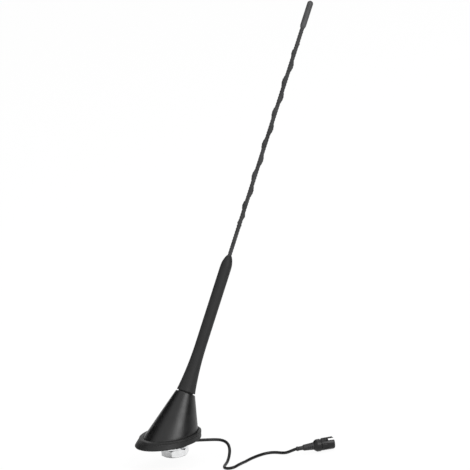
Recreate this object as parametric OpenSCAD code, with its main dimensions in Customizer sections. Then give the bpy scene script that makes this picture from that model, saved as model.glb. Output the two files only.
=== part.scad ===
// Car roof aerial: a raked screw-in whip on a sealed base, with a hollow roof stud and a short coax lead.
// Millimetres. The origin is where the stud's axis meets the roof, +Z is up and the mast leans to +X.

/* [Mast] */
// Length of the mast, from the foot of its sleeve to its tip
mast_length = 401; // [340:1:480]
// Lean of the mast from upright
mast_rake = 30; // [27:0.5:33]
// How far ahead of the stud the mast's line meets the roof
rake_ahead = 4.5; // [4:0.1:5.5]
// Distance along the mast's line from the roof to the top face of the base
seat_height = 49.2; // [49:0.1:54]
// Diameter of the glass-fibre rod
rod_d = 2.4; // [2:0.1:2.8]
// Wall of the wound sheath on the rod
sheath_wall = 0.6; // [0.5:0.05:0.8]

/* [Sleeve] */
// Length of the rubber sleeve at the foot of the mast
sleeve_length = 139; // [110:1:160]
// Diameter of the sleeve along its straight part
sleeve_d = 11.3; // [10.4:0.1:13]
// Diameter of the sleeve's foot
sleeve_foot_d = 18.5; // [16.8:0.1:18.6]
// Length over which the sleeve flares out to its foot
flare_length = 50; // [40:1:70]
// Length of the rounded nose at the top of the sleeve
nose_length = 14; // [10:0.5:20]
// Chamfer round the foot of the sleeve
sleeve_chamfer = 0.8; // [0.4:0.1:1.2]
// Diameter of the metal ferrule inside the sleeve
ferrule_d = 7.6; // [7:0.1:8.4]
// Length of the ferrule
ferrule_length = 34; // [28:1:44]
// Diameter of the ferrule's foot flange
ferrule_flange_d = 12; // [10:0.1:13]
// Thickness of the ferrule's foot flange
ferrule_flange = 2; // [1:0.1:3]

/* [Spiral] */
// Distance from the sleeve's nose to the spiral's first turn
spiral_foot_gap = 31; // [20:1:40]
// Distance from the spiral's last turn to the tip cap
spiral_head_gap = 16; // [10:1:30]
// Number of turns of the spiral that breaks up wind noise
spiral_turns = 7; // [5:0.5:8]
// Rise of one turn where the spiral begins
spiral_first_pitch = 1.5; // [1:0.5:6]
// Rise of one turn where the spiral ends
spiral_last_pitch = 14; // [8:0.5:20]
// Width of the spiral's bead
bead_w = 2.3; // [1.6:0.1:3]
// How far the bead stands out from the sheath
bead_rise = 1.1; // [0.6:0.1:1.6]

/* [Tip cap] */
// Diameter of the tip cap
cap_d = 5.9; // [5:0.1:7]
// Length of the tip cap
cap_length = 28; // [20:1:36]
// How far the whip reaches into the cap
cap_grip = 22; // [12:1:22]

/* [Screw joint of the mast] */
// Diameter of the mast's threaded stud
mast_thread_d = 5; // [4:0.1:6]
// Rise of the mast for each turn of its thread
mast_thread_pitch = 0.8; // [0.7:0.05:1]
// Number of turns that hold the mast
mast_turns = 10; // [8:1:12]
// Depth to which the threaded stud is set in the ferrule
stud_grip = 9.5; // [7:0.5:11]
// Thickness of the rubber ring under the mast
seal_thickness = 1.7; // [1:0.1:2.5]
// Diameter of the rubber ring under the mast
seal_d = 15; // [13:0.1:15.6]

/* [Base cover] */
// Length of the cover's foot
cover_length = 57.2; // [55:0.1:58]
// Width of the cover's foot
cover_width = 46.8; // [45:0.1:48]
// How far the cover's foot lies ahead of the stud
cover_ahead = 2.8; // [2.6:0.1:3.6]
// Wall of the cover
cover_wall = 2.2; // [1.8:0.1:2.4]
// Thickness of the cover's top
cover_top = 3; // [2.4:0.1:3.6]
// Diameter of the cover's top
cover_top_d = 19.9; // [18.8:0.1:20.5]
// Chamfer round the cover's top
cover_chamfer = 1; // [1:0.1:1.9]

/* [Gasket] */
// Length of the gasket's foot
gasket_length = 70; // [68:0.5:74]
// Width of the gasket's foot
gasket_width = 57; // [56.5:0.5:62]
// How far the gasket's foot lies ahead of the stud
gasket_ahead = 7; // [6:0.1:7.5]
// Length of the gasket's rim
rim_length = 64.2; // [61.5:0.1:65]
// Width of the gasket's rim
rim_width = 56; // [53:0.1:56.5]
// How far the gasket's rim lies ahead of the stud
rim_ahead = 3.8; // [2.8:0.1:4]
// Height of the gasket
gasket_height = 7.1; // [6.4:0.1:8]
// Thickness of the gasket's sole under the base
sole = 2.4; // [1.8:0.1:3]

/* [Casting and roof stud] */
// Thickness of the base casting's plate
plate = 3.4; // [3:0.1:4]
// Diameter of the pad that stands through the gasket
pad_d = 22; // [20:0.1:26]
// Diameter of the roof stud's thread
thread_d = 16; // [14:0.1:18]
// Length of the roof stud below the gasket
stud_length = 15.8; // [15.5:0.1:19]
// Bore of the roof stud
stud_bore = 9; // [7:0.1:10]
// Direction in which the cable slot faces, from the rear of the base
slot_angle = -25; // [-40:1:0]
// Diameter of the casting's collar round the mast socket
collar_d = 13.4; // [13:0.1:13.6]
// Length of the casting's collar
collar_length = 14.7; // [12:0.1:16]
// Thickness of the collar's two side webs
web = 2.5; // [2:0.1:3]

/* [Mast socket] */
// Outer diameter of the socket's insulating sleeve
insulator_d = 11; // [10.4:0.1:11.4]
// Outer diameter of the brass socket
bush_d = 8; // [7:0.1:9]
// Length of the brass socket below the base's top face
bush_length = 19.8; // [18.5:0.1:22]
// Thickness of the flange at the foot of the brass socket
bush_flange = 1.2; // [0.8:0.1:1.6]
// Width of the contact strip
strip_w = 4; // [2:0.1:5]
// Thickness of the contact strip
strip_t = 0.4; // [0.3:0.05:0.6]

/* [Circuit board] */
// Width of the board
board_width = 22; // [18:0.1:23]
// Thickness of the board
board_t = 1.6; // [1:0.1:1.6]
// Height of the board above the plate
board_lift = 3.2; // [2:0.1:3.4]
// Distance of the board's rear edge ahead of the stud
board_ahead = 7.5; // [7:0.1:8]
// Distance from the screening can to the board's front and rear edges
can_margin = 3; // [2:0.1:3.4]
// Width of the screening can
can_width = 11; // [8:0.1:12]
// Height of the screening can
can_height = 3.4; // [2:0.1:3.6]

/* [Washer and nut] */
// Depth of the toothed washer's top below the gasket
washer_drop = 5.9; // [5.9:0.1:6.2]
// Diameter of the toothed washer
washer_d = 26; // [24:0.1:30]
// Thickness of the toothed washer
washer_t = 1; // [0.8:0.1:1.2]
// Height of the washer's teeth
tooth_h = 0.5; // [0.3:0.05:0.6]
// Number of teeth on the washer
teeth = 20; // [12:1:24]
// Width of the nut across its flats
nut_flats = 24; // [22:0.5:27]
// Thickness of the nut
nut_t = 8; // [6:0.1:8]
// Turn of the nut from square to the base
nut_turn = 38.6; // [0:0.1:60]

/* [Coax lead] */
// Diameter of the coax lead
cord_d = 3; // [2.6:0.1:3]
// Depth of the lead's exit below the gasket
exit_drop = 4; // [3.9:0.1:4]
// Diameter of the strain relief sleeve at the stud
relief_d = 3.6; // [3.5:0.1:3.6]
// Reach of the strain relief sleeve from the stud's axis
relief_reach = 15; // [12:0.1:16]

/* [Plug] */
// Length of the whole plug
plug_length = 38; // [37:0.1:42]
// Diameter of the crimped collar on the lead
crimp_d = 4.5; // [4:0.1:5]
// Length of the crimped collar
crimp_length = 2.2; // [1.5:0.1:3]
// Length of the bend boot with its collar
boot_length = 17.5; // [15:0.1:18]
// Diameter of the boot at its thick end
boot_d = 7.5; // [7:0.1:8.5]
// Diameter of the plug's flange
flange_d = 12.3; // [12.2:0.1:13.4]
// Length of the plug's flange
flange_length = 6.8; // [5:0.1:7]
// Diameter of the plug's barrel
barrel_d = 11.6; // [11.4:0.1:12]
// Bore of the plug's mouth
mouth_d = 9.8; // [9.4:0.1:10.2]
// Depth of the plug's mouth
mouth_depth = 12; // [11:0.1:12.4]
// Width of the two slots beside the plug's latch tongue
key_w = 4; // [2:0.1:4.2]
// Depth of the slots from the plug's mouth
key_depth = 6; // [4:0.1:7]
// Width of the rib that stiffens the latch tongue
tongue_w = 3; // [2:0.1:3.4]
// How far the rib stands out from the barrel
tongue_rise = 0.6; // [0.4:0.1:0.8]

/* [Fits] */
// Radial clearance of a running or threaded fit
running_gap = 0.05; // [0.03:0.01:0.08]
// Clearance between pieces that are fitted together
seat_gap = 0.1; // [0.05:0.01:0.15]
// Clearance round what moves or is only passed through
free_gap = 0.3; // [0.2:0.05:0.4]

/* [Hidden] */
$fn = 64;

black = "#202020";
rubber = "#181818";
steel = "#c8cacc";
brass = "#b79a55";

sheath_d = rod_d + 2 * (seat_gap + sheath_wall);
whip_bore = sheath_d + 2 * seat_gap;
whip_top = mast_length - cap_length + cap_grip;
mast_foot = seat_height + seal_thickness;
mast_lift = mast_turns * mast_thread_pitch;
ferrule_bore_depth = stud_grip + 1;
cover_foot = sole + seat_gap;
plate_top = sole + plate;
board_bottom = plate_top + board_lift;
board_top = board_bottom + board_t;
collar_top = seat_height - cover_top - free_gap;
bush_foot = seat_height - bush_length;
insulator_foot = bush_foot + bush_flange + seat_gap;
insulator_bore = bush_d + 2 * seat_gap;
collar_bore = insulator_d + 2 * seat_gap;
washer_bottom = -(washer_drop + tooth_h + washer_t);
nut_top = washer_bottom - running_gap;
thread_hole = thread_d + 2 * running_gap;
slot_w = relief_d + 2 * free_gap;
cord_bore = cord_d + 2 * seat_gap;
overlap = 0.01;

// Screws
cover_screw_d = 2.9;
cover_screw_head = 5;
cover_screw_head_t = 1.6;
cover_screw_length = 7.4;
cover_boss_d = 5.6;
cover_boss_height = 7;
cover_front = -cover_ahead - cover_length / 2;
cover_rear = cover_front + cover_length;
front_screw = cover_front + 7.9;
cover_screws_at = [[front_screw, -6], [front_screw, 6], [cover_rear - 6.7, 0]];
board_screw_d = 2;
board_screw_head = 3.6;
board_screw_head_t = 1.3;
board_screw_length = 5;
board_boss_d = 4.6;
board_rear = -board_ahead;
board_front = front_screw + cover_boss_d / 2 + 0.7;
board_length = board_rear - board_front;
board_screw_y = board_width / 2 - 2.6;
board_screws_at = [[board_front + 3, -board_screw_y], [board_front + 3, board_screw_y]];

// The lead's route, from the stud to the plug, over the surface 24 mm below the gasket
cord_route = [
    [12, -5.6, -4], [15, -7, -4], [20, -9.2, -4.6], [27, -11.8, -5.7], [33, -13.8, -6.7], [38, -16.2, -7.5],
    [41.8, -19.6, -8.3], [43.4, -24.6, -9.4], [42.6, -30.4, -11.4], [39.6, -35.8, -14.8], [35.6, -39.8, -18.4],
    [31, -43.4, -21.2], [26.4, -47, -22.5], [21.8, -50.6, -22.5], [17.6, -54.4, -22.5], [14.8, -59, -22.4],
    [15.4, -64.2, -22.1], [19.8, -67.2, -21.5], [26, -65.8, -21.2], [33, -62.6, -21.8], [40, -59.6, -22.5],
    [47, -57.4, -22.5], [54, -56, -22.5], [61, -55.4, -22.5], [67.4, -56, -22.5], [72.8, -58.6, -22.5],
    [76.2, -63.2, -22.5], [78, -69, -22.3], [79, -74.8, -21.2], [80.4, -80.4, -19], [83.9, -84.7, -17.1],
    [89.6, -87.2, -17.1]
];
plug_heading = -23.6;
plug_top = 163;
plug_entry = 6;
lead_route = [
    [12, -5.6, -4], [4.5, -2.1, -4], [1.5, -0.8, -2.8], [0, 0, 0.2], [-0.6, 0.6, 3.4], [-1, 1, 7], [-2, 2.2, 10.6],
    [-4.4, 4, 12.6], [-7, 4.7, 12.6], [-9.2, 4.7, 12.4]
];

// Places and rings

function rake_point(d) = [d * sin(mast_rake) - rake_ahead, 0, d * cos(mast_rake)];

function rake_across(d, a) = d / 2 * [cos(a) * cos(mast_rake), sin(a), -cos(a) * sin(mast_rake)];

function oval(length, width, ahead, z, sides = 64) =
    [for (i = [0 : sides - 1]) let(a = 360 * i / sides) [length / 2 * cos(a) - ahead, width / 2 * sin(a), z]];

function flat(ring) = [for (p = ring) [p.x, p.y]];

function raked_circle(d, height, sides = 64) =
    [for (i = [0 : sides - 1]) rake_point(height) + rake_across(d, 360 * i / sides)];

module on_rake(height) {
    translate(rake_point(height)) rotate([0, mast_rake, 0]) children();
}

module on_mast(height) {
    on_rake(mast_foot + height) children();
}

// A closed skin through rings that have as many points each
module loft(rings) {
    n = len(rings[0]);
    last = len(rings) - 1;
    sides = [for (i = [0 : last - 1], j = [0 : n - 1]) let(k = (j + 1) % n)
        each [[i * n + j, (i + 1) * n + j, (i + 1) * n + k], [i * n + j, (i + 1) * n + k, i * n + k]]];
    foot = [for (j = [0 : n - 1]) j];
    head = [for (j = [n - 1 : -1 : 0]) last * n + j];
    polyhedron([for (ring = rings) each ring], concat([foot], sides, [head]));
}

// A round tube along a route
function unit(v) = v / norm(v);

function heading(route, i) = unit(route[min(i + 1, len(route) - 1)] - route[max(i - 1, 0)]);

function tube_ring(route, i, d, sides) = let(
        along = heading(route, i),
        across = unit(cross(abs(along.z) > 0.9 ? [0, 1, 0] : [0, 0, 1], along)),
        up = cross(along, across)
    ) [for (k = [0 : sides - 1]) let(a = 360 * k / sides) route[i] + d / 2 * (cos(a) * across + sin(a) * up)];

module tube(route, d, sides = 8) {
    loft([for (i = [0 : len(route) - 1]) tube_ring(route, i, d, sides)]);
}

module ring(outer_d, inner_d, height) {
    difference() {
        cylinder(d = outer_d, h = height);
        translate([0, 0, -overlap]) cylinder(d = inner_d, h = height + 2 * overlap);
    }
}

// Mast

function flare_r(h) = sleeve_d / 2 + (sleeve_foot_d - sleeve_d) / 2 * pow(max(0, 1 - h / flare_length), 2.1);

function nose_r(t) = whip_bore / 2 + 0.3 + (sleeve_d - whip_bore - 0.6) / 2 * (1 - pow(t, 2.5));

module mast_sleeve() {
    nose_foot = sleeve_length - nose_length;
    profile = concat(
        [[0, 0], [flare_r(sleeve_chamfer) - sleeve_chamfer, 0]],
        [for (i = [0 : 12]) let(h = sleeve_chamfer + (flare_length - sleeve_chamfer) * i / 12) [flare_r(h), h]],
        [for (i = [0 : 10]) [nose_r(i / 10), nose_foot + nose_length * i / 10]],
        [[0, sleeve_length]]
    );
    color(black) on_mast(0) difference() {
        rotate_extrude() polygon(profile);
        translate([0, 0, -overlap]) cylinder(d = ferrule_flange_d + 2 * seat_gap, h = ferrule_flange + seat_gap);
        cylinder(d = ferrule_d + 2 * seat_gap, h = ferrule_length + seat_gap);
        cylinder(d = whip_bore, h = sleeve_length + overlap);
    }
}

module mast_ferrule() {
    groove = 0.5;
    grooves = 3;
    color(brass) on_mast(0) difference() {
        union() {
            cylinder(d = ferrule_flange_d, h = ferrule_flange);
            cylinder(d = ferrule_d, h = ferrule_length);
        }
        translate([0, 0, -overlap]) cylinder(d = mast_thread_d, h = ferrule_bore_depth);
        translate([0, 0, ferrule_bore_depth + 2]) cylinder(d = rod_d + 2 * seat_gap, h = ferrule_length);
        for (i = [1 : grooves])
            translate([0, 0, ferrule_length * i / (grooves + 1)])
                ring(ferrule_d + 1, ferrule_d - 2 * groove, 2);
    }
}

module mast_stud() {
    reach = seal_thickness + mast_lift;
    chamfer = mast_thread_d / 8;
    r = mast_thread_d / 2 - running_gap;
    color(steel) on_mast(-reach) rotate_extrude()
        polygon([[0, 0], [r - chamfer, 0], [r, chamfer], [r, reach + stud_grip], [0, reach + stud_grip]]);
}

module whip_rod() {
    foot = ferrule_bore_depth + 2 + seat_gap;
    color("#d8d2b8") on_mast(foot) cylinder(d = rod_d, h = whip_top - foot);
}

module whip_sheath() {
    foot = ferrule_length + 2 * seat_gap;
    color(black) on_mast(foot) ring(sheath_d, rod_d + 2 * seat_gap, whip_top - foot);
}

// The spiral's rise eases in and out over these many turns, so that its end turns lie close together
ease_in = 1.9;
ease_out = 1;
spiral_steps = 16;
spiral_points = spiral_turns * spiral_steps;
spiral_start = sleeve_length + spiral_foot_gap;
spiral_length = mast_length - cap_length - spiral_head_gap - spiral_start;
eased_length = (spiral_first_pitch * ease_in + spiral_last_pitch * ease_out) / 2;
spiral_pitch = (spiral_length - eased_length) / (spiral_turns - (ease_in + ease_out) / 2);

function eased_pitch(first, turn, ease) = first + (spiral_pitch - first) * turn / ease;

function spiral_rise(i) = min(
        spiral_pitch,
        eased_pitch(spiral_first_pitch, i / spiral_steps, ease_in),
        eased_pitch(spiral_last_pitch, (spiral_points - i) / spiral_steps, ease_out)
    ) / spiral_steps;

spiral_heights = [for (i = 0, h = spiral_start; i <= spiral_points; h = h + spiral_rise(i), i = i + 1) h];

// The bead's foot follows the sheath, far enough out for the chords between two rings to clear it
spiral_foot_r = (sheath_d / 2 + running_gap) / cos(180 / spiral_steps);

function bead_point(turn, lead, height, across, out) = let(
        r = spiral_foot_r + out,
        a = turn - across * sin(lead) / spiral_foot_r * 180 / PI
    ) [r * cos(a), r * sin(a), height + across * cos(lead)];

function spiral_ring(i) = let(
        turn = -39 + 360 * i / spiral_steps,
        lead = atan2(spiral_rise(i) * spiral_steps, PI * sheath_d),
        fade = min(1, 0.35 + min(i, spiral_points - i) / 6),
        half = fade * bead_w / 2,
        height = spiral_heights[i]
    ) concat(
        [for (t = [0 : 30 : 180]) bead_point(turn, lead, height, half * cos(t), fade * bead_rise * sin(t))],
        [for (t = [120, 90, 60]) bead_point(turn, lead, height, half * cos(t), 0)]
    );

module wind_spiral() {
    color(black) on_mast(0) loft([for (i = [0 : spiral_points]) spiral_ring(i)]);
}

module tip_cap() {
    foot = mast_length - cap_length;
    dome = cap_d / 2;
    cone = 2.4;
    outline = concat(
        [[0, 0], [whip_bore / 2 + 0.35, 0], [cap_d / 2, cone]],
        [for (a = [0 : 15 : 90]) [dome * cos(a), cap_length - dome + dome * sin(a)]]
    );
    color(black) on_mast(foot) difference() {
        rotate_extrude() polygon(outline);
        translate([0, 0, -overlap]) cylinder(d = whip_bore, h = cap_grip + seat_gap + overlap);
    }
}

module seal_ring() {
    color(rubber) on_rake(seat_height + running_gap)
        ring(seal_d, mast_thread_d + 2 * free_gap, seal_thickness - 2 * running_gap);
}

// Base

module cover_form(inset) {
    top = inset == 0 ? seat_height : seat_height - cover_top;
    shoulder = inset == 0 ? seat_height - cover_chamfer : top - cover_chamfer;
    d = cover_top_d - 2 * inset;
    foot = inset == 0 ? cover_foot : cover_foot - 1;
    loft([
        oval(cover_length - 2 * inset, cover_width - 2 * inset, cover_ahead, foot),
        oval(cover_length - 2 * inset, cover_width - 2 * inset, cover_ahead, gasket_height),
        raked_circle(d, shoulder),
        raked_circle(inset == 0 ? d - 2 * cover_chamfer : d, top)
    ]);
}

module cover_bosses() {
    foot = plate_top + seat_gap;
    rear = cover_screws_at[2].x;
    for (p = cover_screws_at)
        translate([p.x, p.y, foot]) cylinder(d = cover_boss_d, h = cover_boss_height);
    translate([rear, -web / 2, foot]) cube([cover_rear - rear - 1, web, cover_boss_height]);
}

module base_cover() {
    color(black) difference() {
        union() {
            difference() {
                cover_form(0);
                cover_form(cover_wall);
            }
            intersection() {
                cover_form(0);
                cover_bosses();
            }
        }
        on_rake(seat_height - cover_top - 2) cylinder(d = collar_bore + 2 * seat_gap, h = cover_top + 4);
        for (p = cover_screws_at)
            translate([p.x, p.y, plate_top]) cylinder(d = cover_screw_d + 2 * running_gap, h = 4.6);
    }
}

module cover_screws() {
    head = sole + seat_gap;
    color(steel) for (p = cover_screws_at) translate([p.x, p.y, head]) {
        difference() {
            cylinder(d = cover_screw_head, h = cover_screw_head_t);
            for (a = [0, 90])
                rotate([0, 0, a]) translate([-1.5, -0.3, -overlap]) cube([3, 0.6, 0.9]);
        }
        cylinder_up(cover_screw_d, cover_screw_head_t - overlap, cover_screw_length);
    }
}

module cylinder_up(d, foot, top) {
    translate([0, 0, foot]) cylinder(d = d, h = top - foot);
}

module casting_webs() {
    outer = collar_d / 2;
    rear = rake_point(collar_top - collar_length / 2) + rake_across(collar_d - 1, 0);
    front = rake_point(collar_top - collar_length / 2) + rake_across(collar_d - 1, 180);
    for (y = [-outer, outer - web])
        translate([0, y + web, 0]) rotate([90, 0, 0]) linear_extrude(web)
            polygon([[-rake_ahead + 1.5, plate_top - 1], [12, plate_top - 1], [rear.x, rear.z], [front.x, front.z]]);
}

module base_casting() {
    clearance = cover_wall + seat_gap;
    color("#9a9c9e") difference() {
        union() {
            translate([0, 0, sole]) linear_extrude(plate)
                polygon(flat(oval(cover_length - 2 * clearance, cover_width - 2 * clearance, cover_ahead, 0)));
            translate([0, 0, seat_gap]) cylinder(d = pad_d, h = sole + 1);
            translate([0, 0, -stud_length]) cylinder(d = thread_d, h = stud_length + sole + 1);
            on_rake(collar_top - collar_length) cylinder(d = collar_d, h = collar_length);
            casting_webs();
            for (p = board_screws_at)
                translate([p.x, p.y, plate_top - 1]) cylinder(d = board_boss_d, h = board_lift + 1);
        }
        translate([0, 0, -stud_length - 1]) cylinder(d = stud_bore, h = stud_length + plate_top + 2);
        on_rake(bush_foot - 2) cylinder(d = collar_bore, h = collar_top - bush_foot + 3);
        rotate([0, 0, slot_angle]) translate([0, -slot_w / 2, -stud_length - 1])
            cube([thread_d, slot_w, stud_length + 1 - exit_drop + relief_d / 2 + free_gap]);
        for (p = cover_screws_at) translate([p.x, p.y, 0]) {
            cylinder_up(cover_screw_d + 2 * free_gap, sole - 1, plate_top + 1);
            cylinder_up(cover_screw_head + 2 * free_gap, sole - 1, cover_foot + cover_screw_head_t + seat_gap);
        }
        for (p = board_screws_at)
            translate([p.x, p.y, 0]) cylinder_up(board_screw_d + 2 * running_gap, plate_top - 1, board_top);
    }
}

module gasket() {
    pocket_length = cover_length + 2 * seat_gap;
    pocket_width = cover_width + 2 * seat_gap;
    color(rubber) difference() {
        loft([
            oval(gasket_length, gasket_width, gasket_ahead, 0),
            oval(gasket_length, gasket_width, gasket_ahead, 0.8),
            oval((gasket_length + rim_length) / 2 - 0.4, (gasket_width + rim_width) / 2 - 0.2,
                (gasket_ahead + rim_ahead) / 2, gasket_height / 2),
            oval(rim_length, rim_width, rim_ahead, gasket_height - 0.7),
            oval(rim_length - 1.4, rim_width - 1.4, rim_ahead, gasket_height)
        ]);
        translate([0, 0, sole]) linear_extrude(gasket_height)
            polygon(flat(oval(pocket_length, pocket_width, cover_ahead, 0)));
        translate([0, 0, -1]) cylinder(d = pad_d + 2 * seat_gap, h = sole + 2);
    }
}

// Mast socket and circuit

module socket_insulator() {
    color("#e6e2d4") on_rake(insulator_foot)
        ring(insulator_d, insulator_bore, seat_height - 0.2 - insulator_foot);
}

module socket_bush() {
    bore_depth = mast_lift + 2;
    color(brass) difference() {
        union() {
            on_rake(bush_foot) cylinder(d = bush_d + 1.6, h = bush_flange);
            on_rake(bush_foot) cylinder(d = bush_d, h = bush_length - 0.2);
        }
        on_rake(seat_height - bore_depth) cylinder(d = mast_thread_d, h = bore_depth + 1);
    }
}

// One edge of a strip of metal, bent along a path in the base's middle plane
function strip_edge(path, side) = [for (i = [0 : len(path) - 1]) let(
        last = len(path) - 1,
        before = unit(path[max(i, 1)] - path[max(i, 1) - 1]),
        after = unit(path[min(i, last - 1) + 1] - path[min(i, last - 1)]),
        middle = unit(before + after)
    ) path[i] + side / (middle * before) * [-middle.y, middle.x]];

module contact_strip() {
    gap = strip_t / 2 + seat_gap;
    landing = [board_rear - 0.6, board_top + gap];
    ends = [for (a = [0, 180]) let(p = rake_point(bush_foot - gap) + rake_across(5, a)) [p.x, p.z]];
    path = [ends[0], ends[1], landing, landing - [1.8, 0]];
    edge = strip_edge(path, strip_t / 2);
    other_edge = strip_edge(path, -strip_t / 2);
    color(brass) rotate([90, 0, 0]) linear_extrude(strip_w, center = true)
        polygon(concat(edge, [for (i = [len(path) - 1 : -1 : 0]) other_edge[i]]));
}

module circuit_board() {
    color("#1f5a35") difference() {
        translate([board_front, -board_width / 2, board_bottom + seat_gap / 2])
            cube([board_length, board_width, board_t - seat_gap]);
        for (p = board_screws_at)
            translate([p.x, p.y, 0]) cylinder_up(board_screw_d + 2 * seat_gap, board_bottom - 1, board_top + 1);
    }
}

module screening_can() {
    wall = 0.4;
    can_length = board_length - 2 * can_margin;
    color(steel) translate([board_front + can_margin, -can_width / 2, board_top + seat_gap]) difference() {
        cube([can_length, can_width, can_height]);
        translate([wall, wall, -wall]) cube([can_length - 2 * wall, can_width - 2 * wall, can_height]);
    }
}

module board_screws() {
    color(steel) for (p = board_screws_at) translate([p.x, p.y, board_top]) {
        difference() {
            cylinder_up(board_screw_head, seat_gap, board_screw_head_t);
            translate([-board_screw_head, -0.25, board_screw_head_t - 0.6]) cube([2 * board_screw_head, 0.5, 1]);
        }
        cylinder_up(board_screw_d, -board_screw_length, seat_gap + overlap);
    }
}

module inner_lead() {
    color("#161616") tube(lead_route, cord_d, 8);
}

// Washer and nut under the roof

module toothed_washer() {
    tooth_r = washer_d / 2 - 3;
    color(steel) translate([0, 0, washer_bottom]) {
        ring(washer_d, thread_hole + 0.3, washer_t);
        for (i = [0 : teeth - 1])
            rotate([0, 0, 360 * i / teeth]) translate([tooth_r, 0, washer_t - overlap])
                rotate([90, 0, 90]) linear_extrude(2.6) polygon([[-0.9, 0], [0.9, 0], [0.9, tooth_h]]);
    }
}

module hex_nut() {
    corner_r = nut_flats / sqrt(3);
    flat_r = nut_flats / 2;
    drop = (corner_r - flat_r + 0.7) * tan(30);
    barrel = [[0, 0], [flat_r - 0.7, 0], [corner_r, drop], [corner_r, nut_t - drop], [flat_r - 0.7, nut_t], [0, nut_t]];
    color(steel) translate([0, 0, nut_top - nut_t]) rotate([0, 0, nut_turn]) difference() {
        intersection() {
            cylinder(r = corner_r, h = nut_t, $fn = 6);
            rotate_extrude() polygon(barrel);
        }
        translate([0, 0, -1]) cylinder(d = thread_hole, h = nut_t + 2);
    }
}

// Lead and plug

module on_exit(reach) {
    rotate([0, 0, slot_angle]) translate([reach, 0, -exit_drop]) rotate([0, 90, 0]) children();
}

module strain_relief() {
    start = stud_bore / 2 + free_gap;
    length = relief_reach - start;
    bore_r = cord_bore / 2;
    color(rubber) on_exit(start) rotate_extrude()
        polygon([[bore_r, 0], [relief_d / 2, 0], [relief_d / 2, length / 2], [bore_r + 0.1, length], [bore_r, length]]);
}

module coax_lead() {
    color("#141414") tube(cord_route, cord_d, 8);
}

module on_plug(s) {
    entry = cord_route[len(cord_route) - 1];
    translate(entry) rotate([0, 0, plug_heading]) rotate([0, 90, 0]) translate([0, 0, s - plug_entry]) children();
}

module crimp_collar() {
    color(rubber) on_plug(0) ring(crimp_d, cord_bore, crimp_length - seat_gap);
}

module bend_boot() {
    spigot = 3.4;
    r = boot_d / 2;
    bore_r = cord_bore / 2;
    thin = crimp_d / 2 - 0.25;
    span = boot_length - crimp_length;
    color(black) on_plug(crimp_length) difference() {
        rotate_extrude() polygon([
            [bore_r, 0], [thin, 0], [thin + 0.1, span * 0.27], [r - 0.8, span * 0.33], [r - 0.5, span * 0.6],
            [r - 0.15, span * 0.88], [r, span], [r - 1, span], [r - 1, span + spigot], [bore_r, span + spigot]
        ]);
        for (a = [0 : 90 : 270], i = [0 : 2])
            rotate([0, 0, a]) translate([r - 0.9, -1.2, span * (0.56 + 0.14 * i)]) cube([2, 2.4, 0.9]);
    }
}

module plug_shell() {
    flange_foot = boot_length + seat_gap;
    flange_top = flange_foot + flange_length;
    back_wall = plug_length - mouth_depth;
    r = flange_d / 2;
    shoulder = r - boot_d / 2;
    body = [
        [0, 0], [boot_d / 2 + 0.4, 0], [r - shoulder * 0.3, 1.4], [r, 3], [r, flange_length - 0.4],
        [r - 0.4, flange_length], [barrel_d / 2 - 0.7, flange_length], [barrel_d / 2 - 0.7, flange_length + 0.9],
        [barrel_d / 2, flange_length + 0.9], [barrel_d / 2, plug_length - flange_foot - 0.9],
        [barrel_d / 2 - 0.6, plug_length - flange_foot], [0, plug_length - flange_foot]
    ];
    rib_foot = flange_top + 1.6;
    // Turn of each slot's middle from the tongue's, so that the slot's edge lies just beside the rib
    slot_turn = asin((tongue_w + key_w + 2 * seat_gap) / barrel_d);
    color(black) difference() {
        union() {
            on_plug(flange_foot) rotate_extrude() polygon(body);
            on_plug(rib_foot) rotate([0, 0, plug_top]) translate([mouth_d / 2 + 0.3, -tongue_w / 2, 0])
                cube([(barrel_d - mouth_d) / 2 - 0.3 + tongue_rise, tongue_w, plug_length - 1.2 - rib_foot]);
        }
        on_plug(flange_foot - 1) cylinder(d = boot_d - 2 + 2 * seat_gap, h = 4.6);
        on_plug(back_wall) cylinder(d = mouth_d, h = mouth_depth + 1);
        on_plug(flange_foot) cylinder(d = 1.4, h = plug_length);
        for (side = [-1, 1])
            on_plug(plug_length - key_depth) rotate([0, 0, plug_top + side * slot_turn])
                translate([mouth_d / 2 - 1.5, -key_w / 2, 0]) cube([barrel_d, key_w, key_depth + 1.5]);
        for (a = [90 : 45 : 270])
            on_plug(flange_top + 2.4) rotate([0, 0, plug_top + a])
                translate([barrel_d / 2 - 0.5, -0.7, 0]) cube([2, 1.4, 4.4]);
    }
}

module plug_insulator() {
    back = plug_length - mouth_depth + seat_gap;
    color("#d9d4c4") difference() {
        union() {
            on_plug(back) cylinder(d = mouth_d - 2 * seat_gap, h = 1.6);
            on_plug(back) cylinder(d = 5.6, h = mouth_depth - 2.6);
        }
        on_plug(back - 1) cylinder(d = 1.4, h = plug_length);
    }
}

module screen_contact() {
    back = plug_length - mouth_depth + seat_gap + 1.6 + seat_gap;
    top = plug_length - key_depth - 0.6;
    d = mouth_d - 2 * seat_gap;
    color(steel) difference() {
        on_plug(back) ring(d, d - 0.7, top - back);
        for (a = [0, 60, 120])
            on_plug(back + 3) rotate([0, 0, a]) translate([-d, -0.3, 0]) cube([2 * d, 0.6, plug_length]);
    }
}

module centre_contact() {
    back = boot_length + seat_gap + 3.8;
    color(brass) on_plug(back) cylinder(d = 1.2, h = plug_length - 3.2 - back);
}

tip_cap();
whip_rod();
whip_sheath();
wind_spiral();
mast_sleeve();
mast_ferrule();
mast_stud();
seal_ring();
base_cover();
cover_screws();
base_casting();
gasket();
socket_bush();
socket_insulator();
contact_strip();
circuit_board();
screening_can();
board_screws();
inner_lead();
toothed_washer();
hex_nut();
strain_relief();
coax_lead();
crimp_collar();
bend_boot();
plug_shell();
plug_insulator();
screen_contact();
centre_contact();
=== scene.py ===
"""Looks of a car roof aerial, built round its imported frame.

Lengths are in millimetres, apart from names that end in _M or _m. +Z is up, and the mast
leans to +X.
"""

import math

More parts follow.
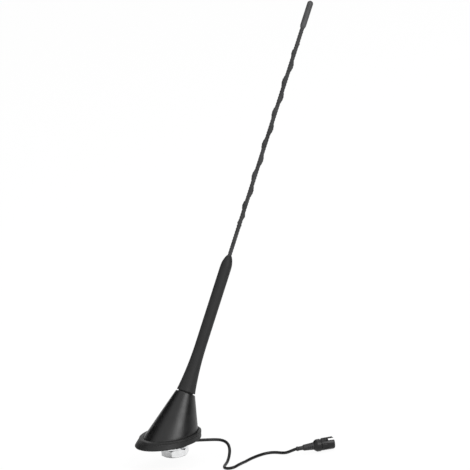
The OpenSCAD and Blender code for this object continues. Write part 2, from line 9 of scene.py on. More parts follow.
import bmesh
import bpy
import numpy as np
from mathutils import Matrix, Vector


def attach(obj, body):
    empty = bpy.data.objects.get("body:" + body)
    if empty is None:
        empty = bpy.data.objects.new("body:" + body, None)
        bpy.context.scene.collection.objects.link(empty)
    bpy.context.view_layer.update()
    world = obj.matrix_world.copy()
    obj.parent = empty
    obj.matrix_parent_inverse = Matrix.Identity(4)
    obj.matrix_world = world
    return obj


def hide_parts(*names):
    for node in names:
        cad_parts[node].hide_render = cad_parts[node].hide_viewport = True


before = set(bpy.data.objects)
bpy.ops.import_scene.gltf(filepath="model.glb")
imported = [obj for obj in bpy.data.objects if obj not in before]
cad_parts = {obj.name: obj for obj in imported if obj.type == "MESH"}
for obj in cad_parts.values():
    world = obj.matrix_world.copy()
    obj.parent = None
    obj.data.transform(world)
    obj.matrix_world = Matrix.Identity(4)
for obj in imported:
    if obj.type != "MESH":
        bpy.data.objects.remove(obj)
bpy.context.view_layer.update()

MM = 0.001
FULL_TURN = 2 * math.pi

# Sizes that the solids and the joints of the frame have too
MAST_RAKE = math.radians(30)
RAKE_AHEAD = 4.5
SEAT_HEIGHT = 49.2
SEAL = 1.7
MAST_FOOT = SEAT_HEIGHT + SEAL
MAST_LENGTH = 401
SLEEVE_LENGTH = 139
SLEEVE_D = 11.3
SLEEVE_FOOT_D = 18.5
FLARE = 50
NOSE = 14
SLEEVE_CHAMFER = 0.8
WHIP_D = 3.8
WHIP_BORE = 4.0
SHEATH_BORE_R = 1.3
CAP_D = 5.9
CAP_LENGTH = 28
CAP_FOOT = MAST_LENGTH - CAP_LENGTH
CAP_GRIP = 22
FERRULE_D = 7.6
FERRULE_LENGTH = 34
FERRULE_FLANGE_D = 12
FERRULE_FLANGE = 2
MAST_THREAD_D = 5
MAST_THREAD_PITCH = 0.8
MAST_TURNS = 10
STUD_GRIP = 9.5
COVER = (57.2, 46.8, 2.8)
COVER_WALL = 2.2
COVER_TOP = 3
COVER_TOP_D = 19.9
COVER_HOLE_D = 11.4
GASKET_FOOT = (70, 57, 7)
GASKET_RIM = (64.2, 56, 3.8)
GASKET_HEIGHT = 7.1
SOLE = 2.4
PAD_D = 22
STUD_D = 16
STUD_PITCH = 1.5
STUD_LENGTH = 15.8
STUD_BORE = 9
SLOT_ANGLE = math.radians(-25)
SLOT_WIDTH = 4.2
SLOT_TOP = -1.9
NUT_TOP = -7.45
NUT_T = 8
NUT_FLATS = 24
NUT_TURN = math.radians(38.6)
CORD_D = 3
CORD_DROP = 4
RELIEF_D = 3.6
RELIEF_REACH = 15
PLUG_HEADING = math.radians(-23.6)
PLUG_TOP = math.radians(163)
PLUG_ENTRY = 6
PLUG_LENGTH = 38
CRIMP_D = 4.5
CRIMP_LENGTH = 2.2
BOOT_LENGTH = 17.5
BOOT_D = 7.5
FLANGE_D = 12.3
FLANGE_LENGTH = 6.8
BARREL_D = 11.6
MOUTH_D = 9.8
MOUTH_DEPTH = 12
KEY_W = 4
KEY_DEPTH = 6
TONGUE_W = 3
TONGUE_RISE = 0.6
FLOOR_Z = -24

# Clearance all round between two pieces
GAP = 0.1

# The lead's route, point for point as in the frame
CORD_ROUTE = [
    (12, -5.6, -4), (15, -7, -4), (20, -9.2, -4.6), (27, -11.8, -5.7), (33, -13.8, -6.7),
    (38, -16.2, -7.5), (41.8, -19.6, -8.3), (43.4, -24.6, -9.4), (42.6, -30.4, -11.4),
    (39.6, -35.8, -14.8), (35.6, -39.8, -18.4), (31, -43.4, -21.2), (26.4, -47, -22.5),
    (21.8, -50.6, -22.5), (17.6, -54.4, -22.5), (14.8, -59, -22.4), (15.4, -64.2, -22.1),
    (19.8, -67.2, -21.5), (26, -65.8, -21.2), (33, -62.6, -21.8), (40, -59.6, -22.5),
    (47, -57.4, -22.5), (54, -56, -22.5), (61, -55.4, -22.5), (67.4, -56, -22.5),
    (72.8, -58.6, -22.5), (76.2, -63.2, -22.5), (78, -69, -22.3), (79, -74.8, -21.2),
    (80.4, -80.4, -19), (83.9, -84.7, -17.1), (89.6, -87.2, -17.1),
]
INNER_ROUTE = [
    (12, -5.6, -4), (4.5, -2.1, -4), (1.5, -0.8, -2.8), (0, 0, 0.2), (-0.6, 0.6, 3.4),
    (-1, 1, 7), (-2, 2.2, 10.6), (-4.4, 4, 12.6), (-7, 4.7, 12.6), (-9.2, 4.7, 12.4),
]


# Camera

CAMERA_AZIMUTH = math.radians(-36.4)
CAMERA_ELEVATION = math.radians(16.2)
CAMERA_ROLL = math.radians(6)
CAMERA_DISTANCE = 12000
CAMERA_CLIP_M = (0.05, 50)
PHOTO_SIDE_PX = 470
PX_PER_MM = 1.024
# Where the middle of the gasket's underside lies in the photo
GASKET_CENTRE_PX = (168.2, 441.3)
SENSOR = 36


def camera_axes():
    """Image right, image up and the way to the camera, for its azimuth, elevation and roll."""
    a, e, r = CAMERA_AZIMUTH, CAMERA_ELEVATION, CAMERA_ROLL
    level = Vector((math.cos(a), math.sin(a), 0))
    up = Vector((-math.sin(a) * math.sin(e), math.cos(a) * math.sin(e), math.cos(e)))
    right = level * math.cos(r) - up * math.sin(r)
    top = level * math.sin(r) + up * math.cos(r)
    return right, top, right.cross(top)


def make_camera():
    right, top, back = camera_axes()
    middle = PHOTO_SIDE_PX / 2
    across = (middle - GASKET_CENTRE_PX[0]) / PX_PER_MM
    above = (GASKET_CENTRE_PX[1] - middle) / PX_PER_MM
    aim = Vector((-GASKET_FOOT[2], 0, 0)) + right * across + top * above
    data = bpy.data.cameras.new("photo_camera")
    data.sensor_width = SENSOR
    data.lens = SENSOR * CAMERA_DISTANCE * PX_PER_MM / PHOTO_SIDE_PX
    data.clip_start, data.clip_end = CAMERA_CLIP_M
    camera = bpy.data.objects.new("photo_camera", data)
    turned = Matrix((right, top, back)).transposed().to_4x4()
    camera.matrix_world = Matrix.Translation((aim + back * CAMERA_DISTANCE) * MM) @ turned
    bpy.context.scene.collection.objects.link(camera)
    bpy.context.scene.camera = camera


# Procedural materials

# The part of a noise texture's values that the look runs over
RANGE_SPAN = (0.3, 0.7)
BLEND_SPAN = (0.35, 0.65)


def node_material(name):
    """An empty material with its shader, and the object's own coordinates in metres."""
    material = bpy.data.materials.new(name)
    material.use_nodes = True
    tree = material.node_tree
    shader = tree.nodes["Principled BSDF"]
    place = tree.nodes.new("ShaderNodeTexCoord").outputs["Object"]
    return material, tree, shader, place


def noise(tree, place, scale, detail=3.0, rough=0.55):
    node = tree.nodes.new("ShaderNodeTexNoise")
    node.inputs["Scale"].default_value = scale
    node.inputs["Detail"].default_value = detail
    node.inputs["Roughness"].default_value = rough
    tree.links.new(place, node.inputs["Vector"])
    return node.outputs["Fac"]


def stretched(tree, place, scale):
    """The coordinates stretched, for fine lines."""
    node = tree.nodes.new("ShaderNodeMapping")
    node.inputs["Scale"].default_value = scale
    tree.links.new(place, node.inputs["Vector"])
    return node.outputs["Vector"]


def ranged(tree, value, low, high):
    """A number that runs from low to high with value."""
    node = tree.nodes.new("ShaderNodeMapRange")
    start, end = RANGE_SPAN
    settings = {"From Min": start, "From Max": end, "To Min": low, "To Max": high}
    for socket, number in settings.items():
        node.inputs[socket].default_value = number
    tree.links.new(value, node.inputs["Value"])
    return node.outputs["Result"]


def blended(tree, value, first, second):
    """A colour that runs from the first to the second with value."""
    ramp = tree.nodes.new("ShaderNodeValToRGB")
    for stop, position, colour in zip(ramp.color_ramp.elements, BLEND_SPAN, (first, second)):
        stop.position = position
        stop.color = (*colour, 1)
    tree.links.new(value, ramp.inputs["Fac"])
    return ramp.outputs["Color"]


def bumped(tree, shader, value, strength, height_m, normal=None):
    node = tree.nodes.new("ShaderNodeBump")
    node.inputs["Strength"].default_value = strength
    node.inputs["Distance"].default_value = height_m
    tree.links.new(value, node.inputs["Height"])
    if normal is not None:
        tree.links.new(normal, node.inputs["Normal"])
    tree.links.new(node.outputs["Normal"], shader.inputs["Normal"])
    return node.outputs["Normal"]


def shade(colour, share):
    return tuple(c * share for c in colour)


def moulded(name, colour, rough, grain, shine=0.5, depth=0.03):
    """Moulded plastic or rubber: fine grain, soft mottling and a little unevenness in its gloss."""
    material, tree, shader, place = node_material(name)
    spread = 0.06
    soft = noise(tree, place, 120, 2)
    fine = noise(tree, place, grain, 4, 0.6)
    tint = blended(tree, soft, shade(colour, 0.78), shade(colour, 1.22))
    tree.links.new(tint, shader.inputs["Base Color"])
    gloss = ranged(tree, soft, rough - spread, rough + spread)
    tree.links.new(gloss, shader.inputs["Roughness"])
    shader.inputs["Specular IOR Level"].default_value = shine
    waves = bumped(tree, shader, soft, 0.15, 0.0002)
    bumped(tree, shader, fine, 0.5, depth * MM, waves)
    return material


def plated(name, colour, rough, lines=(1500, 1500, 60)):
    """Plated or turned metal with fine lines and a few dull patches."""
    material, tree, shader, place = node_material(name)
    fine = noise(tree, stretched(tree, place, lines), 1, 3)
    patches = noise(tree, place, 260, 3)
    tint = blended(tree, patches, shade(colour, 0.88), colour)
    tree.links.new(tint, shader.inputs["Base Color"])
    tree.links.new(ranged(tree, fine, rough - 0.05, rough + 0.06), shader.inputs["Roughness"])
    shader.inputs["Metallic"].default_value = 1
    bumped(tree, shader, fine, 0.06, 0.00001)
    return material


def cast(name, colour):
    """Die-cast metal: a slightly pitted skin with cloudy colour."""
    material, tree, shader, place = node_material(name)
    clouds = noise(tree, place, 180, 4)
    pits = noise(tree, place, 2600, 3, 0.7)
    tint = blended(tree, clouds, shade(colour, 0.7), colour)
    tree.links.new(tint, shader.inputs["Base Color"])
    tree.links.new(ranged(tree, clouds, 0.38, 0.55), shader.inputs["Roughness"])
    shader.inputs["Metallic"].default_value = 1
    bumped(tree, shader, pits, 0.6, 0.00004)
    return material


def board_material():
    """Solder mask over copper tracks."""
    material, tree, shader, place = node_material("solder_mask")
    tracks = tree.nodes.new("ShaderNodeTexBrick")
    settings = {
        "Scale": 260,
        "Mortar Size": 0.06,
        "Color1": (0.02, 0.14, 0.06, 1),
        "Color2": (0.015, 0.11, 0.045, 1),
        "Mortar": (0.06, 0.24, 0.1, 1),
    }
    for socket, setting in settings.items():
        tracks.inputs[socket].default_value = setting
    tree.links.new(place, tracks.inputs["Vector"])
    tree.links.new(tracks.outputs["Color"], shader.inputs["Base Color"])
    gloss = ranged(tree, noise(tree, place, 400), 0.25, 0.4)
    tree.links.new(gloss, shader.inputs["Roughness"])
    bumped(tree, shader, tracks.outputs["Fac"], 0.3, 0.00003)
    return material


MATERIALS = {
    "cover": moulded("cover_plastic", (0.005, 0.005, 0.0053), 0.36, 5200, shine=0.5),
    "cap": moulded("cap_plastic", (0.07, 0.07, 0.072), 0.5, 5200, shine=0.4),
    "rubber": moulded("sleeve_rubber", (0.018, 0.018, 0.0184), 0.6, 3800, 0.35, depth=0.05),
    "gasket": moulded("gasket_rubber", (0.008, 0.008, 0.0083), 0.5, 3400, 0.42, depth=0.05),
    "whip": moulded("whip_sheath", (0.06, 0.06, 0.061), 0.6, 4600, shine=0.15),
    "plug": moulded("plug_plastic", (0.004, 0.004, 0.0042), 0.36, 5200, shine=0.38),
    "boot": moulded("boot_rubber", (0.022, 0.022, 0.0226), 0.5, 3800, shine=0.4),
    "cord": moulded("cord_jacket", (0.003, 0.003, 0.0031), 0.34, 4200, shine=0.34),
    "steel": plated("plated_steel", (0.88, 0.885, 0.89), 0.2),
    "tin": plated("tinned_contact", (0.74, 0.74, 0.73), 0.3, (300, 300, 300)),
    "brass": plated("turned_brass", (0.71, 0.54, 0.25), 0.28, (2200, 2200, 200)),
    "cast": cast("die_casting", (0.56, 0.57, 0.58)),
    "fibre": moulded("glass_fibre", (0.62, 0.58, 0.44), 0.4, 2400),
    "white": moulded("white_insulator", (0.7, 0.68, 0.6), 0.45, 3000),
    "board": board_material(),
}


# Mesh tools

SHARP_DEG = 35
MERGE_M = 1e-7
# A corner that bends less than this stays as it is
LEAST_BEND = 0.05
# The most of a side that one rounded corner may take
SIDE_SHARE = 0.49
BEVEL_STEPS = 2
BEVEL_FROM_DEG = 40


def linked(name, data):
    """An object with the given data, in the scene."""
    thing = bpy.data.objects.new(name, data)
    bpy.context.scene.collection.objects.link(thing)
    return thing


def mesh_from(bm, name):
    mesh = bpy.data.meshes.new(name)
    bm.to_mesh(mesh)
    bm.free()
    return mesh


def finish_mesh(name, bm, material, body, sharp=SHARP_DEG):
    """A mesh object from bm, in metres, that rides on a body."""
    bmesh.ops.recalc_face_normals(bm, faces=bm.faces)
    mesh = mesh_from(bm, name)
    mesh.materials.append(MATERIALS[material])
    mesh.shade_smooth()
    mesh.set_sharp_from_angle(angle=math.radians(sharp))
    piece = linked(name, mesh)
    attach(piece, body)
    return piece


def rounded(section, radii, step=math.radians(12)):
    """A closed section with its corners rounded, each by its own radius."""
    out = []
    count = len(section)
    for i, (corner, r) in enumerate(zip(section, radii)):
        here, before, after = (Vector(section[k % count]) for k in (i, i - 1, i + 1))
        to_before, to_after = (before - here).normalized(), (after - here).normalized()
        bend = math.pi - to_before.angle(to_after)
        if r <= 0 or bend < LEAST_BEND:
            out.append(tuple(corner))
            continue
        most = [SIDE_SHARE * (other - here).length for other in (before, after)]
        reach = min(r * math.tan(bend / 2), *most)
        r = reach / math.tan(bend / 2)
        middle = here + (to_before + to_after).normalized() * (r / math.cos(bend / 2))
        start, end = here + to_before * reach - middle, here + to_after * reach - middle
        steps = max(2, math.ceil(bend / step))
        for k in range(steps + 1):
            t = k / steps
            first = start * math.sin((1 - t) * bend) / math.sin(bend)
            away = first + end * math.sin(t * bend) / math.sin(bend)
            out.append(tuple(middle + away))
    return out


def turns_of(sides):
    """The angles of a ring of points."""
    return np.arange(sides) * FULL_TURN / sides


def level_rings(outline, angles):
    """Rings from rows of radius and height, where a radius may be one for each angle."""
    x, y = np.cos(angles), np.sin(angles)
    return [np.stack([r * x, r * y, np.full(len(angles), h)], 1) for r, h in outline]


def revolved(section, place, sides=96):
    """The solid swept by a closed section of (radius, height) points about place's Z axis."""
    bm = bmesh.new()
    rings = []
    for r, h in section:
        if r < 1e-6:
            rings.append([bm.verts.new(place @ Vector((0, 0, h)))])
            continue
        spots = [Vector((r * math.cos(a), r * math.sin(a), h)) for a in turns_of(sides)]
        rings.append([bm.verts.new(place @ spot) for spot in spots])
    join_loop(bm, rings)
    return bm


def join_rings(bm, lower, upper):
    count = max(len(lower), len(upper))
    if count == 1:
        return
    for k in range(count):
        n = (k + 1) % count
        below = [lower[k % len(lower)], lower[n % len(lower)]]
        above = [upper[n % len(upper)], upper[k % len(upper)]]
        bm.faces.new(list(dict.fromkeys(below + above)))


def join_loop(bm, rings):
    """Joins each ring to the next, and the last back to the first."""
    for lower, upper in zip(rings, rings[1:] + rings[:1]):
        join_rings(bm, lower, upper)


def skinned(rings, place=Matrix.Scale(MM, 4)):
    """A closed skin through rings of points."""
    bm = bmesh.new()
    made = [[bm.verts.new(place @ Vector(p)) for p in ring] for ring in rings]
    join_loop(bm, made)
    return bm


def loose_solid(bm):
    """An object that a cut uses and then throws away."""
    bmesh.ops.recalc_face_normals(bm, faces=bm.faces)
    return linked("tool", mesh_from(bm, "tool"))


def combined(bm, tools, operation="DIFFERENCE"):
    """bm cut by, met with or joined to each tool in turn."""
    body = loose_solid(bm)
    others = [loose_solid(tool) for tool in tools]
    for other in others:
        change = body.modifiers.new("cut", "BOOLEAN")
        change.operation = operation
        change.solver = "EXACT"
        change.object = other
    bpy.context.view_layer.update()
    made = body.evaluated_get(bpy.context.evaluated_depsgraph_get()).to_mesh()
    out = bmesh.new()
    out.from_mesh(made)
    for piece in [body, *others]:
        mesh = piece.data
        bpy.data.objects.remove(piece)
        bpy.data.meshes.remove(mesh)
    bmesh.ops.remove_doubles(out, verts=out.verts, dist=MERGE_M)
    return out


def merged(first, other):
    """One bmesh that holds two separate skins."""
    mesh = mesh_from(other, "part")
    first.from_mesh(mesh)
    bpy.data.meshes.remove(mesh)
    return first


def box_at(place, low, high):
    bm = bmesh.new()
    bmesh.ops.create_cube(bm, size=1)
    low, high = Vector(low), Vector(high)
    size = Matrix.Diagonal((high - low).to_4d())
    size[3][3] = 1
    fitted = place @ Matrix.Translation((low + high) / 2) @ size
    bmesh.ops.transform(bm, matrix=fitted, verts=bm.verts)
    return bm


def softened(piece, width):
    """Breaks a piece's sharp edges by a small width, and leaves the result as its own mesh."""
    bevel = piece.modifiers.new("edges", "BEVEL")
    bevel.width = width * MM
    bevel.segments = BEVEL_STEPS
    bevel.limit_method = "ANGLE"
    bevel.angle_limit = math.radians(BEVEL_FROM_DEG)
    bevel.use_clamp_overlap = True
    bpy.context.view_layer.update()
    shown = piece.evaluated_get(bpy.context.evaluated_depsgraph_get())
    made = bpy.data.meshes.new_from_object(shown)
    piece.modifiers.clear()
    piece.data = made
    made.shade_smooth()
    made.set_sharp_from_angle(angle=math.radians(SHARP_DEG))


# Places, each a matrix from millimetres to the frame's metres

def placed(x_axis, y_axis, z_axis, origin):
    turned = Matrix((x_axis, y_axis, z_axis)).transposed().to_4x4()
    return Matrix.Scale(MM, 4) @ Matrix.Translation(origin) @ turned


def rake_point(distance):
    """A point on the mast's axis."""
    ahead = distance * math.sin(MAST_RAKE) - RAKE_AHEAD
    return Vector((ahead, 0, distance * math.cos(MAST_RAKE)))


def on_mast(height=0.0):
    lean, rise = math.sin(MAST_RAKE), math.cos(MAST_RAKE)
    axes = (rise, 0, -lean), (0, 1, 0), (lean, 0, rise)
    return placed(*axes, rake_point(MAST_FOOT + height))


def on_stud(height=0.0):
    return Matrix.Scale(MM, 4) @ Matrix.Translation((0, 0, height))


def level_way(heading):
    return Vector((math.cos(heading), math.sin(heading), 0))


def along_floor(heading, origin):
    """Z runs level at heading, and X points down."""
    out = level_way(heading)
    down = Vector((0, 0, -1))
    return placed(down, out.cross(down), out, origin)


def on_exit():
    return along_floor(SLOT_ANGLE, (0, 0, -CORD_DROP))


def on_plug(distance=0.0, turn=0.0):
    """Along the plug from the lead's end, turned from straight down."""
    origin = Vector(CORD_ROUTE[-1]) + level_way(PLUG_HEADING) * (distance - PLUG_ENTRY)
    return along_floor(PLUG_HEADING, origin) @ Matrix.Rotation(turn, 4, "Z")


# Rings of points for lofts

LOFT_SIDES = 256


def oval(length, width, ahead, z):
    turns = turns_of(LOFT_SIDES)
    x, y = length / 2 * np.cos(turns) - ahead, width / 2 * np.sin(turns)
    return np.stack([x, y, np.full(LOFT_SIDES, float(z))], 1)


def raked_circle(diameter, distance):
    turns = turns_of(LOFT_SIDES)
    u = np.array([math.cos(MAST_RAKE), 0, -math.sin(MAST_RAKE)])
    across = np.outer(np.cos(turns), u) + np.outer(np.sin(turns), [0, 1, 0])
    return np.array(rake_point(distance)) + diameter / 2 * across


def between(first, second, share):
    return first * (1 - share) + second * share


def arcs(start, corner, end, steps=6):
    """Rings along a quadratic arc from start to end that bends at the corner."""
    shares = np.linspace(0, 1, steps)
    return [start * (1 - t) ** 2 + corner * 2 * t * (1 - t) + end * t**2 for t in shares]


# Leads

ROUTE_STEPS = 10


def smooth_route(points):
    """One smooth curve through the route's points."""
    p = np.array(points, float)
    p = np.vstack([2 * p[0] - p[1], p, 2 * p[-1] - p[-2]])
    out = []
    for i in range(1, len(p) - 2):
        a, b, c, d = p[i - 1 : i + 3]
        for t in np.arange(ROUTE_STEPS) / ROUTE_STEPS:
            square = (2 * a - 5 * b + 4 * c - d) * t**2
            cube = (3 * b - a - 3 * c + d) * t**3
            out.append(0.5 * (2 * b + (c - a) * t + square + cube))
    return np.array([*out, p[-2]])


def tube_curve(name, points):
    """A lead along the points."""
    curve = bpy.data.curves.new(name, "CURVE")
    curve.dimensions = "3D"
    curve.bevel_depth = CORD_D / 2 * MM
    curve.bevel_resolution = 6
    curve.use_fill_caps = True
    spline = curve.splines.new("POLY")
    spline.points.add(len(points) - 1)
    for point, place in zip(spline.points, points):
        point.co = (*(Vector(place) * MM), 1)
    spline.use_smooth = True
    curve.materials.append(MATERIALS["cord"])
    piece = linked(name, curve)
    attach(piece, "root")
    return piece


def make_leads():
    """Both lengths of the lead. Returns the outer one and its length."""
    line = smooth_route(CORD_ROUTE)
    line[:, 2] = np.maximum(line[:, 2], FLOOR_Z + CORD_D / 2)
    lead = tube_curve("roof_lead", line)
    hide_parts("coax_lead")
    inner = tube_curve("board_lead", smooth_route(INNER_ROUTE))
    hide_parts("inner_lead")
    return lead, float(np.linalg.norm(np.diff(line, axis=0), axis=1).sum())


# Mast sleeve

FLARE_POWER = 2.1
NOSE_POWER = 2.5
NOSE_LIP = 0.3
# The foot's outer edge reaches down round the seal
SKIRT_DROP = 0.6


def flare_r(h):
    extra = (SLEEVE_FOOT_D - SLEEVE_D) / 2
    return SLEEVE_D / 2 + extra * max(0.0, 1 - h / FLARE) ** FLARE_POWER


def nose_r(t):
    drop = (SLEEVE_D - WHIP_BORE - 2 * NOSE_LIP) / 2
    return WHIP_BORE / 2 + NOSE_LIP + drop * (1 - t**NOSE_POWER)


def make_sleeve():
    whip_r = WHIP_BORE / 2
    foot_r = SLEEVE_FOOT_D / 2
    ferrule_r, flange_r = FERRULE_D / 2 + GAP, FERRULE_FLANGE_D / 2 + GAP
    foot = [
        (flange_r, 0),
        (foot_r - 1.1, 0),
        (foot_r - 0.9, -SKIRT_DROP),
        (foot_r - 0.45, -SKIRT_DROP),
        (foot_r + 0.1, 0.1 - SKIRT_DROP),
        (flare_r(SLEEVE_CHAMFER) + 0.05, SLEEVE_CHAMFER),
    ]
    outside = [(flare_r(h), h) for h in np.linspace(SLEEVE_CHAMFER, FLARE, 28)[1:]]
    shares = np.sin(np.linspace(0, math.pi / 2, 22))
    nose = [(nose_r(t), SLEEVE_LENGTH - NOSE + NOSE * t) for t in shares]
    inside = [
        (whip_r, SLEEVE_LENGTH),
        (whip_r, FERRULE_LENGTH + GAP),
        (ferrule_r, FERRULE_LENGTH + GAP),
        (ferrule_r, FERRULE_FLANGE + GAP),
        (flange_r, FERRULE_FLANGE + GAP),
    ]
    section = foot + outside + nose + inside
    foot_radii = [0, 0, 0.1, 0.25, 0.4, 0.3]
    radii = foot_radii + [0] * (len(section) - len(foot_radii))
    bm = revolved(rounded(section, radii), on_mast(), 128)
    piece = finish_mesh("grip_sleeve", bm, "rubber", "mast")
    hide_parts("mast_sleeve")


# Whip. The wind spiral climbs from near the sleeve to near the cap, and its end turns lie
# closer together than the others.

SPIRAL_TURNS = 7
SPIRAL_FIRST_PITCH = 1.5
SPIRAL_LAST_PITCH = 14
SPIRAL_EASE_IN = 1.9
SPIRAL_EASE_OUT = 1.0
SPIRAL_FOOT_GAP = 31
SPIRAL_HEAD_GAP = 16
SPIRAL_START_ANGLE = math.radians(-39)
BEAD_WIDTH = 3.1
BEAD_RISE = 1.15
BEAD_POWER = 0.85
# The bead starts low, rises to its full height over the run-in, and its tip fades out
BEAD_START_SHARE = 0.35
BEAD_RUN_IN = 16
BEAD_FADE = 1.6
WIND_PITCH = 3.0
WIND_DEPTH = 0.26
WIND_SWELL = 0.06
WIND_POWER = 0.6
WIND_FADE = 2
# The bare whip looks a little thicker than its solid
WHIP_FULLNESS = 0.13
FULLNESS_FADE = 3
WHIP_SIDES = 48
WHIP_ROWS = 860


def spiral_track():
    """Heights of the spiral, its turns there and its pitch there."""
    start = SLEEVE_LENGTH + SPIRAL_FOOT_GAP
    length = CAP_FOOT - SPIRAL_HEAD_GAP - start
    eased = (SPIRAL_FIRST_PITCH * SPIRAL_EASE_IN + SPIRAL_LAST_PITCH * SPIRAL_EASE_OUT) / 2
    full = (length - eased) / (SPIRAL_TURNS - (SPIRAL_EASE_IN + SPIRAL_EASE_OUT) / 2)
    turns = np.linspace(0, SPIRAL_TURNS, SPIRAL_TURNS * 64 + 1)
    left = SPIRAL_TURNS - turns
    rising = SPIRAL_FIRST_PITCH + (full - SPIRAL_FIRST_PITCH) * turns / SPIRAL_EASE_IN
    falling = SPIRAL_LAST_PITCH + (full - SPIRAL_LAST_PITCH) * left / SPIRAL_EASE_OUT
    pitch = np.minimum(full, np.minimum(rising, falling))
    climbed = np.cumsum((pitch[1:] + pitch[:-1]) / 2 * np.diff(turns))
    return start + np.concatenate([[0], climbed]), turns, pitch


def bare_share(height, fade):
    """1 on the bare whip, falling to 0 at the sleeve and at the cap."""
    rising, falling = (height - SLEEVE_LENGTH) / fade, (CAP_FOOT - height) / fade
    return np.clip(rising, 0, 1) * np.clip(falling, 0, 1)


def whip_radius(angle, height, track):
    """Radius of the sheathed whip: the wound wire's ripples, and the spiral's bead over them."""
    heights, turns, pitch = track
    wave = 0.5 + 0.5 * np.cos(angle - FULL_TURN * height / WIND_PITCH)
    bare = bare_share(height, WIND_FADE)
    r = WHIP_D / 2 - bare * WIND_DEPTH * (1 - wave**WIND_POWER) + bare * WIND_SWELL
    bead_angle = SPIRAL_START_ANGLE + FULL_TURN * np.interp(height, heights, turns)
    away = np.angle(np.exp(1j * (angle - bead_angle)))
    climb = np.arctan2(np.interp(height, heights, pitch), math.pi * WHIP_D)
    across = np.abs(away) * WHIP_D / 2 * np.sin(climb)
    within = min(height - heights[0], heights[-1] - height)
    tip = np.clip(1 + min(within, 0) / BEAD_FADE, 0, 1)
    swell = BEAD_START_SHARE + (1 - BEAD_START_SHARE) * np.clip(within / BEAD_RUN_IN, 0, 1)
    bead = np.clip(1 - across / (BEAD_WIDTH / 2), 0, 1)
    bead = (bead * bead * (3 - 2 * bead)) ** BEAD_POWER
    return r + BEAD_RISE * swell * tip * bead + WHIP_FULLNESS * bare_share(height, FULLNESS_FADE)


def make_whip():
    foot = FERRULE_LENGTH + 2 * GAP
    top = CAP_FOOT + CAP_GRIP
    hidden = np.linspace(foot, SLEEVE_LENGTH - 1, 12)
    shown = np.linspace(SLEEVE_LENGTH - 0.5, CAP_FOOT + 1, WHIP_ROWS)
    held = np.linspace(CAP_FOOT + 2, top, 6)
    angles = turns_of(WHIP_SIDES)
    track = spiral_track()
    outside = [(whip_radius(angles, h, track), h) for h in np.concatenate([hidden, shown, held])]
    bore = [(SHEATH_BORE_R, top), (SHEATH_BORE_R, foot)]
    bm = skinned(level_rings(outside + bore, angles), on_mast())
    piece = finish_mesh("wound_whip", bm, "whip", "mast", sharp=80)
    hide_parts("whip_sheath", "wind_spiral")


# Tip cap

CAP_LIP = 0.35
CAP_CONE = 2.4


def make_cap():
    bore, dome = WHIP_BORE / 2, CAP_D / 2
    shoulder = CAP_LENGTH - dome
    low = [(bore, 0), (bore + CAP_LIP, 0), (dome, CAP_CONE), (dome, shoulder)]
    rise = np.radians(np.arange(7.5, 90, 7.5))
    section = rounded(low, [0, 0.15, 1.2, 0])
    section += [(dome * math.cos(a), shoulder + dome * math.sin(a)) for a in rise]
    section += [(0, CAP_LENGTH), (0, CAP_GRIP + GAP), (bore, CAP_GRIP + GAP)]
    bm = revolved(section, on_mast(CAP_FOOT), 72)
    piece = finish_mesh("end_cap", bm, "cap", "mast")
    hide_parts("tip_cap")


# Threads

CORE_R = 0.2
STUD_THREAD_DEPTH = 0.9
MAST_THREAD_DEPTH = 0.42
# Play on the radius of the stud's thread in its nut, and of the mast's in its socket
STUD_THREAD_PLAY = 0.12
MAST_THREAD_PLAY = 0.05
ROWS_PER_PITCH = 10


def threaded_rod(place, core_r, outer_r, pitch, depth, low, high, sides=72):
    """A threaded rod between two heights, with a plain bore of radius core_r."""
    rows = int((high - low) / pitch * ROWS_PER_PITCH) + 1
    angles = turns_of(sides)
    outline = []
    for h in np.linspace(low, high, rows):
        # A saw wave, clipped to leave narrow flats on the crests and in the roots
        saw = np.abs(((h / pitch - angles / FULL_TURN) % 1) * 2 - 1)
        cut = depth * np.clip(saw * 1.25 - 0.1, 0, 1)
        ends = depth * max(0.0, 1 - min(h - low, high - h) / depth)
        outline.append((outer_r - np.maximum(cut, ends), h))
    bore = [(core_r, high), (core_r, low)]
    return skinned(level_rings(outline + bore, angles), place)


def make_mast_stud():
    reach = SEAL + MAST_TURNS * MAST_THREAD_PITCH
    r = MAST_THREAD_D / 2 - MAST_THREAD_PLAY
    thread = (MAST_THREAD_PITCH, MAST_THREAD_DEPTH)
    bm = threaded_rod(on_mast(), CORE_R, r, *thread, -reach, 0, sides=48)
    shank = revolved([(0, 0), (r, 0), (r, STUD_GRIP), (0, STUD_GRIP)], on_mast(), 48)
    piece = finish_mesh("joint_stud", merged(bm, shank), "steel", "mast", sharp=25)
    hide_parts("mast_stud")


# Base cover

# Finer than on the solid, as the photo's edge is crisp
COVER_CHAMFER = 0.5
COVER_RIM_ROUND = 0.8
COVER_HOLE_CHAMFER = 0.3


